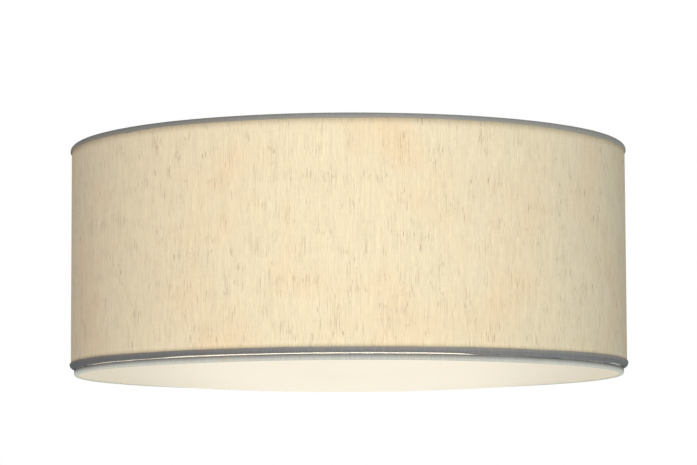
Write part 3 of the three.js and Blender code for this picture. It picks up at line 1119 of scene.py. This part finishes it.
@dataclass(frozen=True)
class RolledHem:
    """Cloth rolled round a ring wire: down outside the drum, round the wire, and up inside it.

    A wide place is (azimuth in degrees, extra length of the outer leg), and a low place is
    (azimuth in degrees, how far the roll hangs out from the wire).
    """

    sizes: FrameSizes
    end: DrumEnd
    cloth: float = 0.8 * MM
    roll_radius: float = 4.05 * MM
    outside_reach: float = 0.35 * MM
    underside: float = 0.94
    inside_reach: float = 4.95 * MM
    wide_places: tuple[Pair, ...] = ()
    wide_half: float = math.radians(9)
    wide_edge: float = math.radians(22)
    low_places: tuple[Pair, ...] = ()
    low_half: float = math.radians(19)
    low_edge: float = math.radians(6)
    arm_half_width: float = 2.6 * MM
    arm_bulge: float = 0.45 * MM
    outer_unevenness: float = 0.35 * MM
    inner_unevenness: float = 0.5 * MM
    swell_unevenness: float = 0.14 * MM
    dip_unevenness: float = 0.12 * MM
    columns: int = 720
    path_steps: int = 22

    @property
    def ring_height(self) -> float:
        """Height of the ring wire's centre."""
        return self.sizes.low_ring if self.end is DrumEnd.LOWER else self.sizes.high_ring

    def paths(self, azimuth: np.ndarray) -> np.ndarray:
        """Middle line of the rolled cloth in each column.

        From the outer edge it runs straight for the outer leg, then as a half circle about the
        wire, flattened a little by underside, then straight for the inner leg. Where an arm leaves
        the wire, the inner end is cut back past the arm.

        Args:
            azimuth: Azimuth of each column.

        Returns:
            (radius, height) pairs, shape (columns, path_steps, 2).
        """
        radius = self.roll_radius - self.cloth / 2
        upper = self.end is DrumEnd.UPPER
        seed = 11 if upper else 23
        ragged = wander(azimuth, seed, self.outer_unevenness, (3, 8, 17, 31, 57))
        outer_leg = self.outside_reach + ragged
        arc = math.pi * radius
        for place, extra in self.wide_places:
            widened = bump(azimuth, np.array([math.radians(place)]), self.wide_half, self.wide_edge)
            outer_leg = outer_leg + extra * widened
        ragged = wander(azimuth, seed + 1, self.inner_unevenness, (5, 13, 29))
        total = outer_leg + arc + self.inside_reach + ragged
        if upper:
            past_arm = self.inside_reach + radius * math.asin(self.arm_half_width / radius)
            inner = self.sizes.hem_radius - 2 * self.roll_radius
            angle = self.arm_half_width / inner
            total = total - past_arm * bump(azimuth, ARM_AZIMUTHS, angle, angle / 2)
            outer_leg = outer_leg + self.arm_bulge * bump(azimuth, ARM_AZIMUTHS, angle, 2 * angle)
        share = np.linspace(0.0, 1.0, self.path_steps)[None]
        length = share * total[:, None]
        leg = outer_leg[:, None]
        turn = np.clip((length - leg) / radius, 0.0, math.pi)
        outwards = radius * np.cos(turn)
        legs = np.maximum(leg - length, 0.0) + np.maximum(length - leg - arc, 0.0)
        inwards = legs - self.underside * radius * np.sin(turn)
        middle = self.sizes.hem_radius - self.roll_radius
        swell = wander(azimuth, seed + 2, self.swell_unevenness, (7, 18, 41))[:, None]
        dip = wander(azimuth, seed + 3, self.dip_unevenness, (2, 5, 11))[:, None]
        for place, extra in self.low_places:
            lowered = bump(azimuth, np.array([math.radians(place)]), self.low_half, self.low_edge)
            dip = dip - extra * lowered[:, None] * np.sin(turn)
        height = self.ring_height + self.end.value * (inwards + dip)
        return np.stack([middle + outwards + swell, height], axis=-1)

    def build(self) -> None:
        fine = ARM_AZIMUTHS if self.end is DrumEnd.UPPER else np.empty(0)
        azimuth = azimuth_steps(self.columns, fine)
        paths = self.paths(azimuth)
        name, node, wire, linen = HEM_PARTS[self.end]
        piece = ring_object(name, band_outline(paths, self.cloth), azimuth, self.sizes.hem_radius)
        install(piece, linen, Body.SHADE, node)


@dataclass(frozen=True)
class RingWire:
    """A round wire bent into a ring, butt-welded and coated."""

    name: str
    node: str
    body: Body
    radius: float
    height: float
    wire: float
    columns: int = 360
    sides: int = 16

    def build(self) -> None:
        """Sweeps the wire's round section about the axis."""
        angle = TURN * np.arange(self.sides) / self.sides
        outline = np.stack([
            self.radius + self.wire / 2 * np.cos(angle),
            self.height + self.wire / 2 * np.sin(angle)], axis=1)
        across = np.linspace(0.0, math.pi * self.wire, self.sides + 1)
        piece = ring_object(self.name, outline, azimuth_steps(self.columns), self.radius, across)
        install(piece, COAT, self.body, self.node)


# --- Spider and fitter --------------------------------------------------------------------------


def weld(name: str, centre: np.ndarray, reach: Triple, azimuth: float) -> None:
    """A coated weld bead, a squashed ball with a slightly lumpy surface.

    The point at polar angle p and turn t is centre + the three reaches times (cos p, sin p cos t,
    sin p sin t), swollen by 6% x sin 3t sin 2p.

    Args:
        name: Name of the piece.
        centre: Its middle.
        reach: Half its size away from the axis, along the ring and up.
        azimuth: Azimuth that it sits at.
    """
    radial, along = outward(azimuth)
    upward = np.array([0.0, 0.0, 1.0])
    stations, sides, lumpiness = 12, 20, 0.06
    polar = np.linspace(0.0, math.pi, stations)[1:-1, None]
    turn = TURN * np.arange(sides)[None] / sides
    swell = 1.0 + lumpiness * np.sin(3 * turn) * np.sin(2 * polar)
    points = (
        centre
        - (reach[0] * np.cos(polar) * np.ones_like(turn) * swell)[..., None] * radial
        + (reach[1] * np.sin(polar) * np.cos(turn) * swell)[..., None] * -along
        + (reach[2] * np.sin(polar) * np.sin(turn) * swell)[..., None] * upward
    )
    piece = capped_object(name, points, centre - reach[0] * radial, centre + reach[0] * radial)
    install(piece, COAT, Body.SHADE)


@dataclass(frozen=True)
class Spider:
    """The pressed hub ring, three bent wire arms welded to it and to the top ring, and the welds."""

    sizes: FrameSizes
    arm_wire: float = 4 * MM
    ring_wire: float = 4 * MM
    level_inner: float = 14 * MM
    level_outer: float = 24 * MM
    bend_radius: float = 22 * MM
    washer: float = 1.5 * MM
    collar: float = 5 * MM
    bore: float = 21 * MM
    sink: float = 0.3 * MM
    ring_radius: float = 246.1 * MM
    edge_break: float = 0.6 * MM
    hub_weld_out: float = 0.6 * MM
    ring_weld_in: float = 0.5 * MM
    hub_weld_reach: Triple = (1.9 * MM, 3.1 * MM, 2.3 * MM)
    ring_weld_reach: Triple = (1.6 * MM, 3.0 * MM, 2.3 * MM)

    @property
    def arm_low(self) -> float:
        """Height of an arm's centre line beside the hub."""
        return self.sizes.hub_top - self.collar / 2

    def arm(self, index: int, azimuth: float) -> None:
        """One arm: level from the hub, a slanted run up, and level to the top ring.

        Args:
            index: Number of the arm, from 0.
            azimuth: Its azimuth.
        """
        inner = self.sizes.hub_radius - self.sink
        outer = self.ring_radius - self.ring_wire / 2 + self.sink
        bends = np.array([
            [inner, self.arm_low],
            [inner + self.level_inner, self.arm_low],
            [outer - self.level_outer, self.sizes.high_ring],
            [outer, self.sizes.high_ring]])
        line = even_steps(filleted(bends, self.bend_radius, steps=12), count=140)
        path = in_section(line, azimuth)
        _, along = outward(azimuth)
        half = np.full(len(path), self.arm_wire / 2)
        loops = rod(path, along, half, half, power=1.0, count=18)
        piece = capped_object(f"arm_rod_{index + 1}", loops, path[0], path[-1])
        install(piece, COAT, Body.SHADE, f"spider_arm_{index + 1}")

    def welds(self, index: int, azimuth: float) -> None:
        """The beads at an arm's two ends.

        Args:
            index: Number of the arm, from 0.
            azimuth: Its azimuth.
        """
        ring_inside = self.ring_radius - self.ring_wire / 2
        hub = np.array([[self.sizes.hub_radius + self.hub_weld_out, self.arm_low]])
        ring = np.array([[ring_inside - self.ring_weld_in, self.sizes.high_ring]])
        weld(f"hub_weld_{index + 1}", in_section(hub, azimuth)[0], self.hub_weld_reach, azimuth)
        weld(f"ring_weld_{index + 1}", in_section(ring, azimuth)[0], self.ring_weld_reach, azimuth)

    def hub(self) -> None:
        """The hub ring: a flat washer with its rim turned down, edges broken all round."""
        outer, top = self.sizes.hub_radius, self.sizes.hub_top
        inner_wall = outer - self.washer
        corners = np.array([
            [self.bore, top - self.washer],
            [inner_wall, top - self.washer],
            [inner_wall, top - self.collar],
            [outer, top - self.collar],
            [outer, top],
            [self.bore, top]])
        outline = filleted(corners, self.edge_break, steps=4, closed=True)
        piece = ring_object("hub_ring", outline, azimuth_steps(count=128), outer)
        install(piece, COAT, Body.SHADE, "fitter_washer")

    def build(self) -> None:
        """Builds the hub, the arms and their welds."""
        self.hub()
        for index, azimuth in enumerate(ARM_AZIMUTHS):
            self.arm(index, float(azimuth))
            self.welds(index, float(azimuth))


@dataclass(frozen=True)
class Reducer:
    """The loose moulded ring that lets the hub take the smaller lampholder."""

    sizes: FrameSizes
    spigot: float = 20.7 * MM
    bore: float = 14.5 * MM
    flange: float = 24 * MM
    flange_thickness: float = 1.2 * MM
    depth: float = 3 * MM
    seat: float = 0.3 * MM
    lead_in: Pair = (0.5 * MM, 0.8 * MM)
    edge_break: float = 0.3 * MM

    def build(self) -> None:
        """A flanged ring with rounded edges and a lead-in at the foot of its spigot."""
        top = self.sizes.hub_top + self.seat
        foot = self.sizes.hub_top - self.depth
        corners = np.array([
            [self.bore, foot],
            [self.spigot - self.lead_in[0], foot],
            [self.spigot, foot + self.lead_in[1]],
            [self.spigot, top],
            [self.flange, top],
            [self.flange, top + self.flange_thickness],
            [self.bore, top + self.flange_thickness]])
        outline = filleted(corners, self.edge_break, steps=4, closed=True)
        piece = ring_object("reducer_moulding", outline, azimuth_steps(count=144), self.flange)
        install(piece, REDUCER_PLASTIC, Body.REDUCER, "reducer_ring")


# --- Diffuser -----------------------------------------------------------------------------------


@dataclass(frozen=True)
class Diffuser:
    """The opal sheet in its cloth-wrapped ring, and the spring tabs that clip it into the drum."""

    sizes: FrameSizes
    cloth: float = 0.6 * MM
    rim_lift: float = 0.5 * MM
    rim_corner: float = 2.1 * MM
    rim_width: float = 3.8 * MM
    wire: float = 2 * MM
    seat: float = 0.3 * MM
    sheet: float = 1.2 * MM
    sag: float = 11.9 * MM
    edge_break: float = 0.3 * MM
    pole_radius: float = 6 * MM
    rings: int = 44
    rim_unevenness: float = 0.10 * MM
    tab_width: float = 12 * MM
    tab_thickness: float = 0.8 * MM
    tab_foot: float = 14 * MM
    tab_face: float = 242.3 * MM
    tab_tip: float = 32.5 * MM
    tab_bend: float = 5 * MM
    tab_lead: float = 2.5 * MM
    tab_corner: float = 1.8 * MM
    tab_rounding: float = 3 * MM
    tab_end_share: float = 0.55

    @property
    def sheet_foot(self) -> float:
        """Height of the sheet's underside at its edge."""
        return self.sizes.rim_foot + self.rim_lift + self.cloth + self.seat

    @property
    def rim_inner(self) -> float:
        """Inner radius of the rim."""
        return self.sizes.rim_radius - self.rim_width

    def underside(self, radius: np.ndarray) -> np.ndarray:
        """Height of the sagging sheet's underside: edge - sag (1 - (radius / inner)^2).

        Args:
            radius: Distances from the axis.

        Returns:
            The heights, of the same shape.
        """
        share = np.clip(radius / self.rim_inner, 0.0, 1.0)
        return self.sheet_foot - self.sag * (1.0 - share * share)

    def panel(self) -> None:
        """The opal sheet: top face outwards from the axis, over its edge, and back underneath."""
        edge = self.sizes.rim_radius - self.cloth - self.seat
        inner = np.linspace(self.pole_radius, self.rim_inner, self.rings)
        radius = np.concatenate([inner, [edge - self.edge_break, edge]])
        under = self.underside(radius)
        top = np.stack([radius, under + self.sheet], axis=1)
        top[-1, 1] -= self.edge_break
        bottom = np.stack([radius, under], axis=1)[::-1]
        bottom[0, 1] += self.edge_break
        profile = np.concatenate([top, bottom])
        points = np.transpose(swept(profile, evenly_round(first=0.0, count=256)), (1, 0, 2))
        low = float(self.underside(np.zeros(1))[0])
        poles = np.array([[0.0, 0.0, low + self.sheet], [0.0, 0.0, low]])
        piece = capped_object("opal_panel", points, poles[0], poles[1])
        install(piece, OPAL, Body.DIFFUSER, "diffuser_panel")

    def rim(self) -> None:
        """The wrapped rim: cloth from under the sheet, round the outside and over the wire."""
        half = self.cloth / 2
        outer, inner = self.sizes.rim_radius - half, self.rim_inner + half
        foot = self.sizes.rim_foot + self.rim_lift + half
        head = self.sizes.rim_head + self.rim_lift - half
        inner_end = self.sheet_foot + self.sheet + self.seat
        corners = np.array([
            [self.rim_inner, foot], [outer, foot], [outer, head], [inner, head], [inner, inner_end]])
        path = even_steps(filleted(corners, self.rim_corner, steps=8), count=30)
        azimuth = azimuth_steps(count=720)
        swell = wander(azimuth, 41, self.rim_unevenness, (9, 23, 47))[:, None, None]
        dip = wander(azimuth, 42, self.rim_unevenness, (2, 5, 13))[:, None, None]
        paths = path[None] + swell * np.array([1.0, 0.0]) + dip * np.array([0.0, 1.0])
        piece = ring_object("rim_wrap", band_outline(paths, self.cloth), azimuth, outer)
        install(piece, RIM_SHADED_LINEN, Body.DIFFUSER, "diffuser_rim")

    def ring(self) -> None:
        """The thin wire inside the rim."""
        corner = self.wire / 2 + self.seat + self.cloth
        height = self.sheet_foot + self.sheet + self.seat + self.wire / 2
        RingWire("rim_wire", "diffuser_ring_wire", Body.DIFFUSER, self.sizes.rim_radius - corner,
                 height, self.wire, sides=12).build()

    def tab(self, index: int, azimuth: float) -> None:
        """A spring tab: a foot that follows the sheet, a bend, a leg and a lead-in, ends rounded.

        Within r of an end the half width is w (e + (1 - e) sqrt(1 - (1 - d / r)^2)), where d is the
        length from that end, and e is the share of the width that the end itself keeps.

        Args:
            index: Number of the tab, from 0.
            azimuth: Its azimuth.
        """
        lift = self.sheet + self.seat + self.tab_thickness / 2
        face = self.tab_face - self.tab_thickness / 2
        toe = face - self.tab_foot
        feet = self.underside(np.array([toe, face])) + lift
        corners = np.array([
            [toe, feet[0]], [face, feet[1]], [face, self.tab_tip - self.tab_bend],
            [face - self.tab_lead, self.tab_tip]])
        line = even_steps(filleted(corners, self.tab_corner, steps=8), count=90)
        travelled = path_length(line)
        to_end = np.minimum(travelled, travelled[-1] - travelled)
        inside = np.clip(1.0 - to_end / self.tab_rounding, 0.0, 1.0)
        end = self.tab_end_share
        half_width = self.tab_width / 2 * (end + (1.0 - end) * np.sqrt(1.0 - inside**2))
        half_depth = np.full(len(line), self.tab_thickness / 2)
        path = in_section(line, azimuth)
        _, along = outward(azimuth)
        loops = rod(path, along, half_width, half_depth, power=0.3, count=32)
        piece = capped_object(f"clip_tab_{index + 1}", loops, path[0], path[-1])
        install(piece, STEEL, Body.DIFFUSER, f"spring_tab_{index + 1}")

    def build(self) -> None:
        """Builds the sheet, rim, wire and tabs."""
        self.panel()
        self.rim()
        self.ring()
        for index, azimuth in enumerate(TAB_AZIMUTHS):
            self.tab(index, float(azimuth))


# --- Studio -------------------------------------------------------------------------------------


@dataclass(frozen=True)
class Softbox:
    """A square studio light that faces the drum and that the camera doesn't see."""

    name: str
    place: Triple
    side: float
    watts: float
    tint: str = "FFFFFF"

    def build(self, target: Vector) -> None:
        """Adds the light, turned to its target.

        Args:
            target: Point that it faces.
        """
        data = bpy.data.lights.new(self.name, "AREA")
        data.shape = "SQUARE"
        data.size = self.side
        data.energy = self.watts
        data.color = linear(self.tint)[:3]
        lamp = bpy.data.objects.new(self.name, data)
        lamp.location = self.place
        lamp.rotation_euler = (target - Vector(self.place)).to_track_quat("-Z", "Y").to_euler()
        lamp.visible_camera = False
        bpy.context.scene.collection.objects.link(lamp)


SOFTBOXES = (
    Softbox("left_light", place=(-0.65, -3.2, 0.0), side=1.1, watts=37.0, tint="FFE1D0"),
    Softbox("right_light", place=(0.65, -3.2, 0.0), side=1.1, watts=34.5, tint="FFFEF6"),
    Softbox("back_light", place=(0.0, 3.4, 0.6), side=2.0, watts=42.0, tint="FFFAF0"),
    Softbox("top_light", place=(0.0, 0.0, 3.2), side=2.4, watts=48.0),
)


@dataclass(frozen=True)
class Studio:
    """Camera, floor and light: a long lens from a little below the drum, on plain white."""

    sizes: FrameSizes
    lens: float = 165.24
    distance: float = 2.883
    drop: float = 170.5 * MM
    pitch: float = 0.10054
    roll: float = -0.0038
    floor_drop: float = 1.9
    floor_size: float = 30.0
    floor_glow: float = 0.31
    floor_shown: float = 0.25
    ambient: float = 0.12
    backdrop: float = 1.0
    bulb_watts: float = 1.55
    bulb_size: float = 30 * MM
    bulb_radius: float = 70 * MM
    bulb_tint: str = "FFF8EE"

    def camera(self) -> None:
        """A camera in front of the drum, drop below its lower ring, tipped up by pitch."""
        data = bpy.data.cameras.new("camera")
        data.lens = self.lens
        data.clip_end = 60.0
        camera = bpy.data.objects.new("camera", data)
        place = Matrix.Translation((0.0, -self.distance, self.sizes.low_ring - self.drop))
        tip = Matrix.Rotation(math.pi / 2 + self.pitch, 4, "X")
        camera.matrix_world = place @ tip @ Matrix.Rotation(self.roll, 4, "Z")
        bpy.context.scene.collection.objects.link(camera)
        bpy.context.scene.camera = camera

    def floor(self) -> None:
        """A wide, plain, pale floor well below the hanging shade; a low glow keeps it white."""
        half = self.floor_size / 2
        corners = np.array([[-half, -half], [half, -half], [half, half], [-half, half]])
        points = np.concatenate([corners, np.full((4, 1), -self.floor_drop)], axis=1)
        piece = mesh_object("floor", points, [np.arange(4)[None]], [corners[None]])
        material = shader("matt pale floor paint", Roughness=0.9, Emission_Color=linear("FFFFFF"))
        tree = material.node_tree
        path = add(tree, "LightPath")
        glow = add(tree, "Math", {
            0: path.outputs["Is Camera Ray"], 1: self.floor_shown, 2: self.floor_glow},
            operation="MULTIPLY_ADD")
        place = add(tree, "TexCoord")
        grain = add(tree, "TexNoise", {"Vector": place.outputs["Object"], "Scale": 3.0, "Detail": 2.0})
        mixed = add(tree, "Mix", {
            MIX_FACTOR: grain.outputs[0], MIX_A: linear("F1F1EF"), MIX_B: linear("EEEEEC")}, **BLEND)
        feed(material, Base_Color=mixed.outputs[MIX_OUT], Emission_Strength=glow.outputs[0])
        piece.data.materials.append(material)

    def world(self) -> None:
        """White to the camera, and a dimmer, slightly cool white as light."""
        world = bpy.data.worlds.new("studio")
        world.use_nodes = True
        tree = world.node_tree
        tree.nodes.clear()
        path = add(tree, "LightPath")
        light = add(tree, "Background", {"Color": linear("DCE8FF"), "Strength": self.ambient})
        seen = add(tree, "Background", {"Color": linear("FFFFFF"), "Strength": self.backdrop})
        mixed = add(tree, "MixShader", {
            0: path.outputs["Is Camera Ray"], 1: light.outputs[0], 2: seen.outputs[0]})
        add(tree, "OutputWorld", {"Surface": mixed.outputs[0]})
        bpy.context.scene.world = world

    def bulbs(self) -> None:
        """Three warm bulbs on one level inside the drum, at the tabs' azimuths, unseen themselves."""
        height = (self.sizes.low_ring + self.sizes.hub_top) / 2
        for index, azimuth in enumerate(TAB_AZIMUTHS):
            data = bpy.data.lights.new(f"bulb_{index + 1}", "POINT")
            data.energy = self.bulb_watts / len(TAB_AZIMUTHS)
            data.shadow_soft_size = self.bulb_size
            data.color = linear(self.bulb_tint)[:3]
            bulb = bpy.data.objects.new(data.name, data)
            bulb.location = in_section(np.array([[self.bulb_radius, height]]), float(azimuth))[0]
            bulb.visible_camera = False
            bpy.context.scene.collection.objects.link(bulb)

    def build(self) -> None:
        """Sets up the whole studio."""
        self.camera()
        self.floor()
        self.world()
        target = Vector((0.0, 0.0, (self.sizes.low_ring + self.sizes.high_ring) / 2))
        for softbox in SOFTBOXES:
            softbox.build(target)
        self.bulbs()
        view = bpy.context.scene.view_settings
        view.view_transform = "Standard"
        view.look = "None"


def main() -> None:
    """Builds the shade round its frame, from the studio to the diffuser."""
    logging.basicConfig(level=logging.INFO, format="%(name)s: %(message)s")
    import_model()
    sizes = FrameSizes.measured()
    Studio(sizes).build()
    DrumCover(sizes).build()
    RolledHem(
        sizes, DrumEnd.LOWER, wide_places=((-22.0, 0.9 * MM),),
        low_places=((-44.5, 1.05 * MM), (-150.0, 0.6 * MM))).build()
    RolledHem(sizes, DrumEnd.UPPER, wide_places=((-26.0, 1.5 * MM), (-157.0, 0.7 * MM))).build()
    spider = Spider(sizes)
    for name, node, height in (
        ("lower_ring", "bottom_ring_wire", sizes.low_ring),
        ("upper_ring", "top_ring_wire", sizes.high_ring),
    ):
        RingWire(name, node, Body.SHADE, spider.ring_radius, height, spider.ring_wire).build()
    spider.build()
    Reducer(sizes).build()
    Diffuser(sizes).build()


if __name__ == "__main__":
    main()
